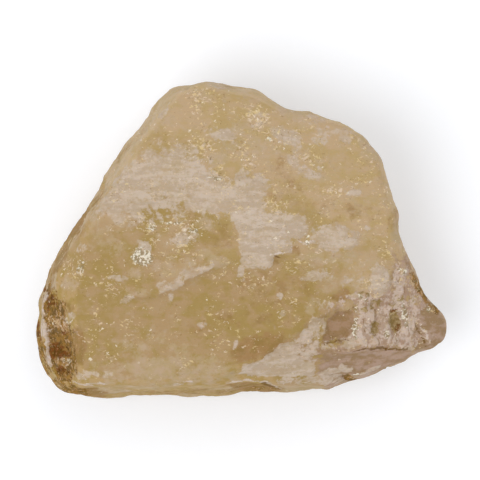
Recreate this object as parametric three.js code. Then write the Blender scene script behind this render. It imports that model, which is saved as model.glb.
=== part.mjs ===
// Rough witherite: one broken lump of massive, honey-coloured barium carbonate.
// It lies on its underside with its broad, waxy face up, and rests on a small flat spot.
// Millimetres, +Z up, +X along the longest side.
// The origin is the middle of the stone's box seen from above, at the height of the flat spot.
import * as THREE from 'three';
import { ImprovedNoise } from 'three/addons/math/ImprovedNoise.js';
import { mergeVertices } from 'three/addons/utils/BufferGeometryUtils.js';

const noise = new ImprovedNoise();

// The stone's outline seen from above, anticlockwise from the peak of the back edge.
const outline = [
  [-3.6, 23.3], [-9.4, 22.8], [-12.0, 20.0], [-14.9, 15.9], [-16.6, 14.7], [-18.7, 10.8],
  [-20.2, 9.6], [-20.2, 7.9], [-22.4, 5.3], [-24.4, 2.1], [-26.6, -1.5], [-27.9, -3.2],
  [-28.0, -5.3], [-29.4, -8.8], [-29.4, -10.8], [-29.8, -12.0], [-29.7, -14.2], [-29.1, -17.0],
  [-28.1, -19.4], [-27.2, -21.3], [-24.2, -23.1], [-20.0, -23.0], [-16.0, -22.4], [-2.5, -22.2],
  [1.0, -21.6], [7.4, -21.5], [11.5, -20.9], [13.2, -21.2], [14.2, -20.4], [18.1, -19.7],
  [20.9, -18.3], [24.1, -17.1], [25.6, -15.8], [29.3, -15.0], [30.2, -13.2], [30.2, -11.6],
  [29.1, -9.5], [27.4, -8.6], [24.0, -1.1], [22.9, 1.5], [22.9, 4.5], [21.6, 8.0],
  [20.4, 12.2], [17.6, 15.4], [14.3, 17.7], [11.3, 18.2], [10.4, 19.3], [8.9, 19.0],
  [6.2, 19.6], [2.3, 22.3], [0.0, 22.4],
];

// Broken and cleaved faces: azimuth and elevation of the outward normal in degrees, and a point on the face.
const topFaces = [
  { name: 'front field', azimuth: 268, elevation: 86, through: [-6, -6, 24.2] },
  { name: 'back right field', azimuth: 52, elevation: 82, through: [5, 8, 24.8] },
  { name: 'back left field', azimuth: 162, elevation: 83, through: [-12, 5, 24.3] },
  { name: 'right shoulder', azimuth: 318, elevation: 76, through: [10, -8, 23.8] },
  { name: 'wedge-shaped fracture', azimuth: 302, elevation: 71, through: [5, -15.6, 23.5] },
  { name: 'slope to the tip', azimuth: 335, elevation: 58, through: [24.6, -9, 19.55] },
  { name: 'smooth front right fracture', azimuth: 284, elevation: 42, through: [18, -16, 19.8] },
  { name: 'front right edge', azimuth: 277, elevation: 55, through: [8, -19.8, 21.9] },
];
const wallFaces = [
  { name: 'front edge bevel', azimuth: 270, elevation: 36, through: [-10, -20.8, 22.6] },
  { name: 'front wall', azimuth: 268, elevation: 9, through: [-8, -22.6, 13] },
  { name: 'pocket face', azimuth: 184, elevation: 40, through: [-23.9, -14, 22.4] },
  { name: 'left wall', azimuth: 188, elevation: 14, through: [-30.0, -13, 13] },
  { name: 'front left corner', azimuth: 226, elevation: 34, through: [-27.5, -21.0, 15.5] },
  { name: 'back left chamfer', azimuth: 146, elevation: 44, through: [-17.0, 10.0, 23.0] },
  { name: 'back left wall', azimuth: 146, elevation: 12, through: [-20.3, 8.9, 16] },
  { name: 'left end chamfer', azimuth: 158, elevation: 42, through: [-25.2, -3.4, 21.2] },
  { name: 'back chamfer', azimuth: 92, elevation: 46, through: [-3, 23.1, 23.7] },
  { name: 'back right chamfer', azimuth: 46, elevation: 38, through: [20.1, 15.2, 23.2] },
];
const underFaces = [
  { name: 'under front left', azimuth: 236, elevation: -38, through: [-26.5, -22.2, 9.0] },
  { name: 'under front', azimuth: 272, elevation: -31, through: [-4, -22.8, 8.0] },
  { name: 'under front right', azimuth: 302, elevation: -38, through: [20.5, -19.9, 8.2] },
  { name: 'under left', azimuth: 184, elevation: -33, through: [-30.6, -12, 8.6] },
  { name: 'under back left', azimuth: 142, elevation: -37, through: [-20.2, 8.6, 12] },
  { name: 'under back', azimuth: 98, elevation: -33, through: [-3, 22.8, 15] },
  { name: 'under back right', azimuth: 48, elevation: -41, through: [15.5, 16.4, 17] },
  { name: 'under right', azimuth: 21, elevation: -31, through: [24.9, -2, 10.5] },
  { name: 'under tip', azimuth: 340, elevation: -52, through: [30.3, -13, 10.0] },
  { name: 'left keel', azimuth: 200, elevation: -76, through: [-11.5, -5, 0] },
  { name: 'right keel', azimuth: 12, elevation: -73, through: [8.5, -2, 0] },
  { name: 'back keel', azimuth: 95, elevation: -72, through: [-2, 6.5, 0] },
  { name: 'front keel', azimuth: 272, elevation: -78, through: [0, -11.5, 0] },
];

// Layers of the top face with their own edges: how far each stands up or, where negative, is broken away.
const layers = [
  {
    name: 'frosted middle layer', rise: 0.5, edge: 0.7,
    border: [
      [-17.5, 11.6], [-14.5, 12.1], [-10.0, 13.0], [-6.0, 12.2], [-4.6, 10.6], [-2.6, 8.7], [1.0, 9.6],
      [4.9, 8.2], [7.8, 5.6], [9.9, 4.4], [9.8, 2.0], [8.2, 0.2], [7.0, 0.0], [7.1, -1.8], [4.6, -2.2],
      [3.9, -3.7], [1.2, -3.7], [0.0, -1.6], [-0.9, 1.0], [-1.2, 3.2], [-3.0, 4.0], [-6.4, 4.2], [-8.7, 5.0],
      [-10.4, 6.6], [-13.0, 4.4], [-16.0, 2.0], [-21.8, 3.2], [-20.4, 7.8],
    ],
  },
  {
    name: 'frosted right flake', rise: 0.4, edge: 0.6,
    border: [[10.4, 0.2], [11.6, 2.2], [15.0, 2.3], [17.4, 0.6], [16.4, -1.0], [13.0, -1.8]],
  },
  {
    name: 'honey recess', rise: -0.6, edge: 1.2,
    border: [
      [13.0, -9.9], [15.2, -9.9], [16.7, -11.0], [16.3, -12.8], [16.0, -14.5], [12.7, -15.2], [12.1, -12.6],
    ],
  },
  {
    name: 'stained pocket', rise: -1.4, edge: 1.0,
    border: [
      [-28.5, -8.4], [-26.6, -7.8], [-24.8, -10.0], [-24.0, -13.0], [-23.9, -19.8], [-25.4, -20.4],
      [-27.6, -18.2], [-28.4, -13.0],
    ],
  },
  {
    name: 'chip in the front edge', rise: -1.5, edge: 0.8,
    border: [[13.9, -18.9], [17.6, -19.5], [18.8, -20.8], [15.6, -21.6]],
  },
  {
    name: 'conchoidal chip under the ledge', rise: -0.8, edge: 0.6,
    border: [[-0.6, -21.0], [2.2, -20.5], [4.0, -21.0], [5.9, -22.2], [-0.6, -22.8]],
  },
];

// Steps along a line, high on the left of its direction: the height, and how far back it fades.
const ledges = [
  {
    name: 'slanting ledge', rise: 0.6, fade: 5,
    line: [[-20.0, -6.4], [-12.6, -8.0], [-8.3, -6.8], [-7.5, -5.6], [-5.0, -4.6], [-2.3, -3.4], [0.5, -3.9]],
  },
  {
    name: 'edge of the wedge-shaped fracture', rise: 0.5, fade: 4,
    line: [
      [-3.0, -19.6], [0.0, -18.6], [3.3, -16.7], [6.0, -14.9], [8.0, -13.8], [9.6, -12.0], [12.0, -10.6],
    ],
  },
  {
    name: 'step above the smooth fracture', rise: 0.6, fade: 3,
    line: [[11.8, -16.8], [15.0, -16.2], [20.6, -15.4], [25.2, -16.3]],
  },
];

// Holes and knobs: the half sizes across, the turn in degrees, and the depth, negative for a knob.
const pitSlope = { from: 1.25, width: 0.9 }; // where the slope starts and how wide it is, in half sizes
const pits = [
  { name: 'round pit', at: [19.8, -12.7], half: [1.1, 1.2], turn: 0, depth: 0.8 },
  { name: 'oval pit', at: [22.6, -11.4], half: [1.0, 1.9], turn: -8, depth: 1.0 },
  { name: 'upper pit', at: [19.5, -9.1], half: [1.2, 0.9], turn: 15, depth: 0.7 },
  { name: 'frosted boss', at: [20.2, -5.7], half: [2.1, 2.6], turn: 0, depth: -0.6 },
  { name: 'sugary boss', at: [-14.2, -2.4], half: [1.8, 1.8], turn: 30, depth: -0.5 },
  { name: 'pocket knob', at: [-25.6, -11.6], half: [1.6, 1.3], turn: 0, depth: -0.8 },
  { name: 'lower pocket knob', at: [-26.3, -17.2], half: [1.6, 1.0], turn: 0, depth: -0.7 },
];

// Narrow ribs, or cracks where the height is negative: a line, its half width and its height.
const ribFoot = 1.4; // where a rib's slope starts, in half widths
const ribs = [
  {
    name: 'white vein along the pocket', height: 1.1, halfWidth: 0.7,
    line: [[-29.0, -8.6], [-28.7, -12.0], [-28.1, -15.0], [-27.7, -18.6]],
  },
  {
    name: 'bar under the recess', height: 0.7, halfWidth: 0.9,
    line: [[12.2, -15.6], [16.2, -14.9], [19.4, -14.6]],
  },
  {
    name: 'flake on the tip', height: 0.7, halfWidth: 0.6,
    line: [[26.0, -11.8], [26.9, -13.2], [27.4, -15.4]],
  },
  {
    name: 'crack beside the flake', height: -0.9, halfWidth: 0.6,
    line: [[25.3, -11.9], [26.1, -13.6], [26.8, -15.4]],
  },
];

const settings = {
  heart: new THREE.Vector3(0, -2, 11.5), // every point of the surface is seen from here
  rings: 19, // 20 * (rings + 1)^2 triangles
  reach: [30, 23, 13], // half sizes of the ellipsoid that spreads the first points
  farthest: 40,
  marchStep: 0.5,
  finest: 1e-4,
  lift: 0.3, // how far the ellipsoid's middle stands above the heart, so that the broad face gets more points
  relaxing: { smooth: 18, detailed: 3 }, // rounds of evening out the mesh, without and with the relief
  topDensity: 4, // weight of the broad face's triangles against the underside's while evening out
  edgeRounding: 0.3,
  outlineSwell: 0.25, // makes up for what the rounding takes off the outline
  brink: { width: 0.9, drop: 0.4 }, // the broad face's own worn edge
  girdle: { middle: 13.5, swing: 7, towards: 45, lean: 0.06 }, // the widest level, and the lean from it
  restHeight: 0.02, // points this close to the floor belong to the flat spot
};

const roughness = {
  swell: { size: 13, height: 0.5 },
  lumps: { size: 4.6, height: 0.2 },
  grit: { size: 1.9, height: 0.1 },
  shift: [7.3, 2.9, 5.1], // picks this piece of the endless noise
  silhouette: 0.15, // share of the roughness on the outline itself
  waxy: 0.45, // share on the broad face
};
// Shell-shaped chips of the walls and the underside.
const hackly = {
  count: 260, size: 8, depth: 1.1, tilt: 0.6, seed: 41,
  middle: [0, 0, 12], // the chips lie in a box around this place
  within: [34, 27, 17], // half sizes of the box
  onWalls: 0.3, // share of their depth on the wall faces
  onSides: 0.8, // share on the sides, away from the widest level
  spared: [1.2, 5], // distances from the widest level between which they set in
};

// A face's outward normal and its offset along it.
function planeOf({ azimuth, elevation, through }) {
  const a = THREE.MathUtils.degToRad(azimuth);
  const e = THREE.MathUtils.degToRad(elevation);
  const normal = new THREE.Vector3(Math.cos(e) * Math.cos(a), Math.cos(e) * Math.sin(a), Math.sin(e));
  return { normal, offset: normal.dot(new THREE.Vector3(...through)) };
}

// The largest of several distances, with the edge between the two largest rounded.
function roundedMax(distances, rounding) {
  const top = Math.max(...distances);
  return top + rounding * Math.log(distances.reduce((sum, d) => sum + Math.exp((d - top) / rounding), 0));
}

// Distance to the nearest piece of a line, and on which side of it the point is: +1 for the left.
function nearestOnLine(x, y, points, closed) {
  let best = { distance: Infinity, side: 1, along: 0, index: 0 };
  const count = closed ? points.length : points.length - 1;
  for (let i = 0; i < count; i++) {
    const [ax, ay] = points[i];
    const [bx, by] = points[(i + 1) % points.length];
    const dx = bx - ax;
    const dy = by - ay;
    const along = THREE.MathUtils.clamp(((x - ax) * dx + (y - ay) * dy) / (dx * dx + dy * dy), 0, 1);
    const distance = Math.hypot(x - ax - along * dx, y - ay - along * dy);
    if (distance < best.distance) {
      const side = dx * (y - ay) - dy * (x - ax) >= 0 ? 1 : -1;
      best = { distance, side, along, index: i };
    }
  }
  return best;
}

function isInside(x, y, border) {
  let inside = false;
  border.forEach(([ax, ay], i) => {
    const [bx, by] = border[(i + 1) % border.length];
    if (ay > y !== by > y && x < ((bx - ax) * (y - ay)) / (by - ay) + ax) inside = !inside;
  });
  return inside;
}

// Distance to a closed border, negative inside it.
function borderDistance(x, y, border) {
  const { distance } = nearestOnLine(x, y, border, true);
  return isInside(x, y, border) ? -distance : distance;
}

// How far the broad face stands above its planes at a place.
function topRelief(x, y) {
  let height = 0;
  for (const { border, rise, edge } of layers) {
    height += rise * THREE.MathUtils.smoothstep(-borderDistance(x, y, border), -edge / 2, edge / 2);
  }
  for (const { line, rise, fade } of ledges) {
    const { distance, side, along, index } = nearestOnLine(x, y, line, false);
    const beyondAnEnd = (index === 0 && along === 0) || (index === line.length - 2 && along === 1);
    const strength = rise * Math.exp(-((distance / fade) ** 2)) * (beyondAnEnd ? Math.exp(-distance) : 1);
    height += (side * strength * THREE.MathUtils.smoothstep(distance, 0, 0.5)) / 2;
  }
  for (const { at, half, turn, depth } of pits) {
    const t = THREE.MathUtils.degToRad(turn);
    const u = ((x - at[0]) * Math.cos(t) + (y - at[1]) * Math.sin(t)) / half[0];
    const v = ((y - at[1]) * Math.cos(t) - (x - at[0]) * Math.sin(t)) / half[1];
    height -= depth * THREE.MathUtils.smoothstep(pitSlope.from - Math.hypot(u, v), 0, pitSlope.width);
  }
  for (const rib of ribs) {
    const { distance } = nearestOnLine(x, y, rib.line, false);
    height += rib.height * THREE.MathUtils.smoothstep(ribFoot * rib.halfWidth - distance, 0, rib.halfWidth);
  }
  return height;
}

function unevenness(p) {
  const [x, y, z] = roughness.shift;
  let sum = 0;
  for (const { size, height } of [roughness.swell, roughness.lumps, roughness.grit]) {
    sum += height * noise.noise(p.x / size + x, p.y / size + y, p.z / size + z);
  }
  return sum;
}

// Scattered middles of the chips, each with its own slant.
THREE.MathUtils.seededRandom(hackly.seed);
const spread = (half) => (2 * THREE.MathUtils.seededRandom() - 1) * half;
const scattered = (middle, half) => new THREE.Vector3(
  middle[0] + spread(half[0]),
  middle[1] + spread(half[1]),
  middle[2] + spread(half[2]),
);
const chips = Array.from({ length: hackly.count }, () => ({
  middle: scattered(hackly.middle, hackly.within),
  slant: scattered([0, 0, 0], [1, 1, 1]).multiplyScalar(hackly.tilt / hackly.size),
}));

// Depth of the chips: each scoops out its surroundings, and scoops meet in sharp ridges.
function chipDepth(p) {
  const away = new THREE.Vector3();
  let deepest = 0;
  for (const { middle, slant } of chips) {
    away.subVectors(p, middle);
    deepest = Math.max(deepest, 1 - away.lengthSq() / hackly.size ** 2 + away.dot(slant));
  }
  return hackly.depth * deepest;
}

const planes = { top: topFaces.map(planeOf), wall: wallFaces.map(planeOf), under: underFaces.map(planeOf) };

// Distance out of the stone, roughly in millimetres: negative inside it, zero on its surface.
function outOfStone(p, detailed) {
  const { edgeRounding, girdle, brink } = settings;
  const distanceFrom = (at) => ({ normal, offset }) => normal.dot(at) - offset;
  const outOf = (group, at) => roundedMax(group.map(distanceFrom(at)), edgeRounding);
  const turned = Math.atan2(p.y, p.x) - THREE.MathUtils.degToRad(girdle.towards);
  const widest = girdle.middle + girdle.swing * Math.cos(turned);
  const fromWidest = Math.abs(p.z - widest);
  const rim = borderDistance(p.x, p.y, outline) - settings.outlineSwell;
  const parts = { uneven: 0, chipped: 0, relief: 0 };
  if (detailed) {
    parts.uneven = unevenness(p);
    parts.chipped = chipDepth(p);
    parts.relief = topRelief(p.x, p.y) - brink.drop * THREE.MathUtils.clamp(1 + rim / brink.width, 0, 1) ** 2;
  }
  const belowRelief = p.clone().setZ(p.z - parts.relief);
  return Math.max(
    roundedMax(
      [
        outOf(planes.top, belowRelief) + roughness.waxy * parts.uneven,
        outOf(planes.wall, belowRelief) + parts.uneven + hackly.onWalls * parts.chipped,
        rim + girdle.lean * fromWidest + roughness.silhouette * parts.uneven
          + hackly.onSides * parts.chipped * THREE.MathUtils.smoothstep(fromWidest, ...hackly.spared),
        outOf(planes.under, p) + parts.uneven + parts.chipped - hackly.depth,
      ],
      edgeRounding,
    ),
    -p.z,
  );
}

// How far the surface lies from the stone's heart in a direction. A guess shortens the search.
function surfaceDistance(direction, detailed, guess) {
  const { heart, marchStep, farthest, finest } = settings;
  const out = (t) => outOfStone(heart.clone().addScaledVector(direction, t), detailed);
  let near = guess ? Math.max(guess - marchStep, marchStep) : marchStep;
  while (near > marchStep && out(near) > 0) near -= marchStep;
  let far = near;
  while (far < farthest && out(far) <= 0) {
    near = far;
    far += marchStep;
  }
  while (far - near > finest) {
    const middle = (near + far) / 2;
    if (out(middle) > 0) far = middle;
    else near = middle;
  }
  return near;
}

function stoneGeometry() {
  const { heart, rings, reach, lift, relaxing, topDensity, restHeight } = settings;
  const sphere = new THREE.IcosahedronGeometry(1, rings);
  sphere.deleteAttribute('normal');
  sphere.deleteAttribute('uv');
  const geometry = mergeVertices(sphere, 1e-5);
  const position = geometry.getAttribute('position');
  const index = geometry.getIndex();
  const points = [];
  for (let i = 0; i < position.count; i++) {
    const direction = new THREE.Vector3().fromBufferAttribute(position, i);
    direction.z += lift;
    direction.multiply(new THREE.Vector3(...reach)).normalize();
    points.push(heart.clone().addScaledVector(direction, surfaceDistance(direction, false)));
  }

  // Each point moves towards the weighted middle of the triangles around it, and back to the surface.
  for (let round = 0; round < relaxing.smooth + relaxing.detailed; round++) {
    const sums = points.map(() => ({ place: new THREE.Vector3(), weight: 0 }));
    for (let i = 0; i < index.count; i += 3) {
      const corners = [index.getX(i), index.getX(i + 1), index.getX(i + 2)];
      const triangle = new THREE.Triangle(...corners.map((c) => points[c]));
      const middle = triangle.getMidpoint(new THREE.Vector3());
      const weight = triangle.getArea() * (middle.z > heart.z ? topDensity : 1);
      for (const c of corners) {
        sums[c].place.addScaledVector(middle, weight);
        sums[c].weight += weight;
      }
    }
    points.forEach((point, i) => {
      const direction = sums[i].place.divideScalar(sums[i].weight).sub(heart);
      const guess = direction.length();
      const reached = surfaceDistance(direction.normalize(), round >= relaxing.smooth, guess);
      point.copy(heart).addScaledVector(direction, reached);
    });
  }

  points.forEach((point, i) => {
    if (point.z < restHeight) point.z = 0;
    position.setXYZ(i, point.x, point.y, point.z);
  });
  geometry.computeBoundingBox();
  const middle = geometry.boundingBox.getCenter(new THREE.Vector3());
  geometry.translate(-middle.x, -middle.y, 0);
  geometry.computeVertexNormals();
  return geometry;
}

const stone = new THREE.Mesh(
  stoneGeometry(),
  new THREE.MeshStandardMaterial({ name: 'witherite', color: 0xb39a6e, roughness: 0.5, metalness: 0 }),
);
stone.name = 'witherite_stone';

const witherite = new THREE.Group();
witherite.name = 'rough_witherite';
witherite.add(stone);

export default witherite;
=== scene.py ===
import math

import bmesh
import bpy
import numpy as np
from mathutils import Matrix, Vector, noise


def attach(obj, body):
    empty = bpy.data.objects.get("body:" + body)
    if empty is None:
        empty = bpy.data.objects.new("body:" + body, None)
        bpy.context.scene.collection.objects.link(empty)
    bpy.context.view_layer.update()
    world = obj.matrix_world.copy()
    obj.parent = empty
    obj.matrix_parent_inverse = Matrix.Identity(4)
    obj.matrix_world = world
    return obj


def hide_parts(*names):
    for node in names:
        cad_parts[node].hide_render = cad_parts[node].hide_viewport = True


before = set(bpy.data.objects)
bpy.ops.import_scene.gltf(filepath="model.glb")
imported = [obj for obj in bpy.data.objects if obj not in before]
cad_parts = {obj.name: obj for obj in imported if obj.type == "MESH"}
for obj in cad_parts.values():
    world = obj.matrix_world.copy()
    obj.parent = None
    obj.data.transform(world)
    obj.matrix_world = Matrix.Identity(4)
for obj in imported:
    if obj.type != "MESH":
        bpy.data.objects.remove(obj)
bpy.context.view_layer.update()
scene = bpy.context.scene
noise.seed_set(1)  # else the noise vectors follow the clock
print("frame loaded:", sorted(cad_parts))

mm = 0.001
middleShift = (0.03, 0.12)  # mm, from the places read off the stone's face to the part's own origin


# Places on the broad face.
# Everything below is in millimetres, seen from above, +X towards the narrow tip.

# Frosted patches: how solid the frosting is, how soft its border is, and the border.
frostedPatches = [
    (0.78, 3.0, [(-17.8, 11.9), (-14, 12.6), (-10, 13.8), (-6.0, 13.4), (-5.6, 8.0), (-5.4, 4.0),
                 (-9.0, 3.1), (-12.5, 2.6), (-15, 1.8), (-18, 1.8), (-21.8, 3.4), (-21.0, 6.2),
                 (-20.2, 8.2)]),
    (0.82, 1.4, [(-9.0, 12.9), (-6, 12.3), (-4.5, 11), (-4.1, 9.6), (-3.2, 8.8), (-1.4, 8.6), (0.6, 10.4),
                 (3.2, 9.6), (4.9, 8.3), (3.7, 6.9), (4.2, 4.5), (7.6, 4.3), (9.8, 4.0), (9.8, 1.2),
                 (2.0, 2.0), (-2.6, 3.1), (-6.0, 3.4), (-8.6, 4.3), (-10.0, 6.6)]),
    (1.2, 0.8, [(-1.3, 3.0), (-2.0, 4.8), (2.4, 5.0), (4.4, 3.2), (6.6, 2.9), (8.8, 3.8), (9.8, 1.2),
                (8.3, 0.5), (6.9, 0.2), (7.0, -1.6), (4.9, -2.0), (3.9, -3.5), (1.2, -3.8), (0.2, -2.5),
                (0.1, 0), (-0.8, 1.6)]),
    (0.9, 0.8, [(10.4, -0.4), (11.4, 2.1), (15.0, 2.3), (15.6, 1.2), (17.4, 0.8), (16.8, -0.5),
                (15.4, -1.6), (12, -1.5)]),
    (0.8, 1.3, [(-5.2, 14.8), (-4.6, 16.2), (-1.2, 15.8), (-0.6, 14.2), (-2.5, 14.2)]),
    (0.85, 1.1, [(4.0, 16.2), (7.5, 16.0), (9.2, 14.6), (8.8, 13.2), (8.5, 11.9), (8.0, 10.5), (6.8, 10.6),
                 (6.6, 12.0), (7.4, 13.4), (5.0, 14.2), (4.1, 15.2)]),
    (0.75, 1.3, [(8.0, 10.3), (11.5, 10.6), (12.0, 8.8), (10.4, 8.3), (9.0, 9.4)]),
    (0.65, 1.8, [(0.4, 17.9), (2.0, 19.2), (4.0, 18.4), (4.0, 16.9), (2.2, 16.0)]),
    (0.95, 0.9, [(18.6, -4.2), (20, -3.6), (21.6, -4.4), (21.8, -7.0), (20.2, -8.1), (19.0, -7.0)]),
    (0.88, 0.35, [(-0.4, -19.6), (0.3, -18.4), (3.2, -16.8), (6.2, -14.9), (7.6, -14.3), (8.2, -16.2),
                  (9.4, -17.2), (10.9, -17.2), (10.6, -19.9), (6, -19.9)]),
    (0.62, 0.5, [(6.8, -14.7), (8.0, -14.0), (8.4, -13.0), (10.2, -12.0), (11.5, -11.4), (11.8, -13.2),
                 (11.4, -15.2), (11.0, -17.6), (8.8, -17.6), (7.4, -16.4)]),
    (0.9, 0.5, [(16.9, -11.6), (18.3, -11.1), (18.8, -12.4), (18.6, -13.8), (17.6, -15.0), (15.6, -15.8),
                (14.4, -15.6), (14.6, -14.7), (16.1, -14.0)]),
    (0.6, 2.6, [(8.8, 19.0), (10.4, 19.0), (12.4, 17.8), (14.4, 17.3), (16.0, 15.6), (14.6, 13.6),
                (11.0, 13.9), (9.8, 14.6), (9.4, 16.6)]),
    (0.62, 0.6, [(4.4, -19.7), (10.5, -19.4), (14, -19.4), (13.9, -22.6), (7.4, -22.8), (5.8, -21.3)]),
    (0.6, 2.0, [(12.4, -5.4), (17.0, -3.4), (18.8, -4.6), (18.6, -6.4), (14.0, -6.4)]),
]
# Spots are x, y, half sizes, turn in degrees, strength.
frostedSpots = [
    (-16.2, -8.4, 1.3, 0.7, 15, 0.6), (-10.1, -8.6, 0.4, 1.0, 0, 0.6), (11.0, -5.0, 2.6, 1.0, 10, 0.65),
    (-22.8, -1.2, 0.9, 0.8, 30, 0.6), (-26.9, -6.7, 1.1, 0.8, 0, 0.5), (0.3, -4.4, 0.5, 1.3, 0, 0.8),
    (-0.7, -15.2, 0.35, 0.9, -20, 0.9), (16.6, -8.2, 1.7, 0.5, 0, 0.7), (22.9, -10.6, 1.0, 0.8, 0, 0.8),
    (24.2, -12.6, 1.6, 1.4, 0, 0.8), (21.2, -13.6, 0.8, 1.4, 0, 0.8), (23.0, -6.2, 1.5, 1.1, 0, 0.62),
    (18.2, 1.8, 1.0, 0.5, 0, 0.6), (16.4, 6.8, 1.4, 0.5, 0, 0.75), (-14.2, -2.2, 1.2, 1.3, 20, 1.0),
    (-5.6, -12.3, 0.9, 0.5, 0, 0.6), (5.8, -8.1, 0.6, 0.5, 0, 0.6), (-11.2, 19.0, 1.6, 0.9, 60, 0.6),
    (-8.0, 0.2, 2.6, 1.2, 20, 0.6), (-16.6, 7.2, 1.8, 0.7, 0, 0.6), (10.8, -12.2, 1.2, 1.4, 40, 0.7),
    (-18.0, -5.4, 2.0, 0.5, 0, 0.55), (12.0, -9.4, 1.6, 0.7, 35, 0.6), (-4.2, -21.9, 3.6, 0.35, 2, 0.5),
    (6.0, -10.6, 0.8, 0.5, 30, 0.6), (-20.0, -19.5, 2.0, 0.7, 0, 0.46), (-13.8, -1.0, 1.1, 0.8, 0, 1.0),
    (13.3, -19.4, 1.5, 0.9, 0, 1.0), (20.6, -12.1, 0.75, 1.3, 0, 1.0), (15.3, -18.7, 1.2, 0.6, 0, 0.75),
    (-22.7, -19.6, 1.5, 0.8, 0, 0.6), (-4.5, 9.0, 1.3, 0.7, 0, 1.0), (-9.6, 11.8, 1.6, 1.0, -10, 1.0),
    (14.2, -20.7, 0.9, 0.6, 0, 0.8), (-11.5, 3.6, 1.6, 0.8, 0, 0.6), (12.6, -15.3, 1.2, 0.8, 0, 0.6),
    (12.0, -12.5, 0.7, 1.6, 10, 0.65), (24.3, -15.7, 1.2, 0.4, 0, 0.7), (17.4, -20.1, 1.6, 0.5, 25, 0.75),
    (15.4, -20.9, 1.2, 0.4, 0, 0.75), (-2.6, 22.3, 1.8, 0.6, 0, 0.6), (-24.5, -11.0, 1.3, 0.8, 20, 0.55),
    (20.2, -5.8, 1.3, 1.6, 0, 1.2), (18.6, -19.1, 2.0, 0.4, 30, 0.6),
]
# Deeper honey where it is thick and clear, and the paler, cloudier places.
amberSpots = [
    (2.4, -15.6, 4.2, 1.9, 18, 1.0), (-23.4, -15.6, 1.2, 3.0, 0, 1.1), (-2.6, 1.0, 2.4, 2.2, 0, 0.35),
    (-24.1, 2.3, 0.8, 3.4, -30, 1.2), (8.4, 7.9, 4.0, 1.0, -8, 0.4), (14.0, 4.3, 6.0, 1.5, -5, 0.35),
    (-19.0, -4.4, 4.0, 1.6, 0, 0.2), (4.0, -7.0, 7.0, 3.2, 0, 0.35), (14.6, -7.8, 1.6, 0.9, 10, 1.2),
    (-22.6, -22.3, 3.0, 0.7, -4, 1.4), (5.5, 10.6, 2.0, 1.6, 0, 0.35), (17.5, -9.7, 1.2, 0.7, 0, 0.9),
    (22.0, 2.9, 0.8, 1.6, 0, 0.4), (4.4, 6.4, 1.6, 0.7, -10, 0.45), (3.4, -6.0, 1.6, 1.2, 0, 0.5),
    (7.8, -1.6, 1.0, 0.7, 0, 0.6), (-28.0, -5.6, 0.8, 1.0, 0, 0.6), (-24.7, -9.8, 0.7, 1.2, 0, 0.6),
    (-23.4, 1.6, 0.9, 3.0, -33, 0.6), (-6.0, -13.0, 2.0, 1.2, 0, 0.35), (-2.6, 9.8, 1.2, 0.9, 0, 0.3),
    (1.0, -11.4, 6.0, 1.2, 0, 0.4), (14.6, -12.3, 1.8, 2.2, -10, 0.7), (19.9, -13.0, 0.8, 0.9, 0, 1.2),
    (22.3, -11.7, 0.8, 1.6, 8, 1.4), (19.8, -9.3, 1.2, 0.9, 0, 0.9), (2.2, -21.6, 3.6, 0.8, -4, 1.2),
    (-6.0, -22.2, 12.0, 0.5, 0, 0.5), (5.6, -2.8, 2.0, 0.8, 0, 0.6), (-26.3, -2.8, 0.8, 3.0, -30, 0.8),
    (12.6, -14.2, 0.8, 0.7, 0, 0.9), (-2.4, 0.4, 2.2, 2.2, 0, 0.3), (-21.6, 5.0, 0.7, 3.4, -38, 0.5),
    (-16.2, 13.6, 0.6, 3.0, -38, 0.4),
]
paleSpots = [
    (-10.0, -18.6, 9.0, 2.2, 0, 0.9), (-12.0, -15.5, 6.0, 1.5, 0, 0.4), (12.0, -2.6, 4.5, 1.4, 0, 0.5),
    (-19.0, 2.0, 3.0, 1.6, 0, 0.5), (15.4, -6.6, 4.0, 1.4, 0, 0.5), (17.6, -3.6, 4.0, 1.6, -20, 0.5),
    (-16.0, 16.0, 2.0, 1.4, 50, 0.3), (4.0, 13.6, 3.0, 1.6, 0, 0.3), (-9.5, -3.8, 3.6, 1.6, 20, 0.6),
    (-12.8, 4.6, 3.6, 1.4, 5, 0.6), (8.0, 18.6, 2.6, 1.4, -10, 1.3), (19.0, 13.4, 2.2, 1.4, -45, 1.3),
    (-3.1, -3.1, 2.0, 1.1, 0, 1.1), (13.2, -19.2, 1.6, 1.0, 0, 1.3), (-8.6, 12.8, 3.0, 1.4, 0, 0.8),
    (-4.8, 2.6, 1.8, 1.4, 0, 0.6), (0.5, 14.0, 4.0, 2.6, 0, 0.5), (-21.4, 2.7, 1.3, 0.8, 0, 0.9),
    (10.7, 9.2, 2.2, 1.0, 0, 0.8), (10.4, -9.6, 1.4, 0.9, 30, 0.9), (-24.4, -6.3, 1.4, 0.9, 0, 0.8),
    (-3.2, 11.6, 1.6, 1.2, 0, 0.8), (-5.5, -2.0, 1.6, 1.0, 10, 0.8), (-15.0, -4.6, 1.6, 1.0, 0, 0.7),
    (-15.0, -7.6, 1.6, 0.7, -5, 0.6), (-18.5, -0.6, 1.8, 1.2, 0, 0.6), (-18.2, -20.0, 2.0, 0.8, 0, 0.8),
    (7.5, -13.7, 1.0, 0.8, 30, 0.7), (22.8, 0.6, 0.9, 1.2, 0, 0.9), (-1.2, -19.6, 1.2, 0.8, 0, 0.9),
    (-2.6, 22.4, 2.4, 0.8, 0, 1.0),
]
# Gold places on the bevels, beside those that face the near side; they take the near rim's gold colour and
# its painted shade.
goldAndShadeSpots = [
    (-25.4, 0.2, 1.0, 3.8, -33, 0.3), (-23.8, 3.0, 0.9, 2.6, -35, 0.26), (-12.2, 19.7, 1.2, 0.8, 60, 0.18),
    (15.6, 16.3, 1.8, 0.8, -40, 0.18), (-29.3, -15.6, 0.7, 2.0, 5, 0.3), (-23.8, -22.4, 1.6, 0.5, 0, 0.3),
]
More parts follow.
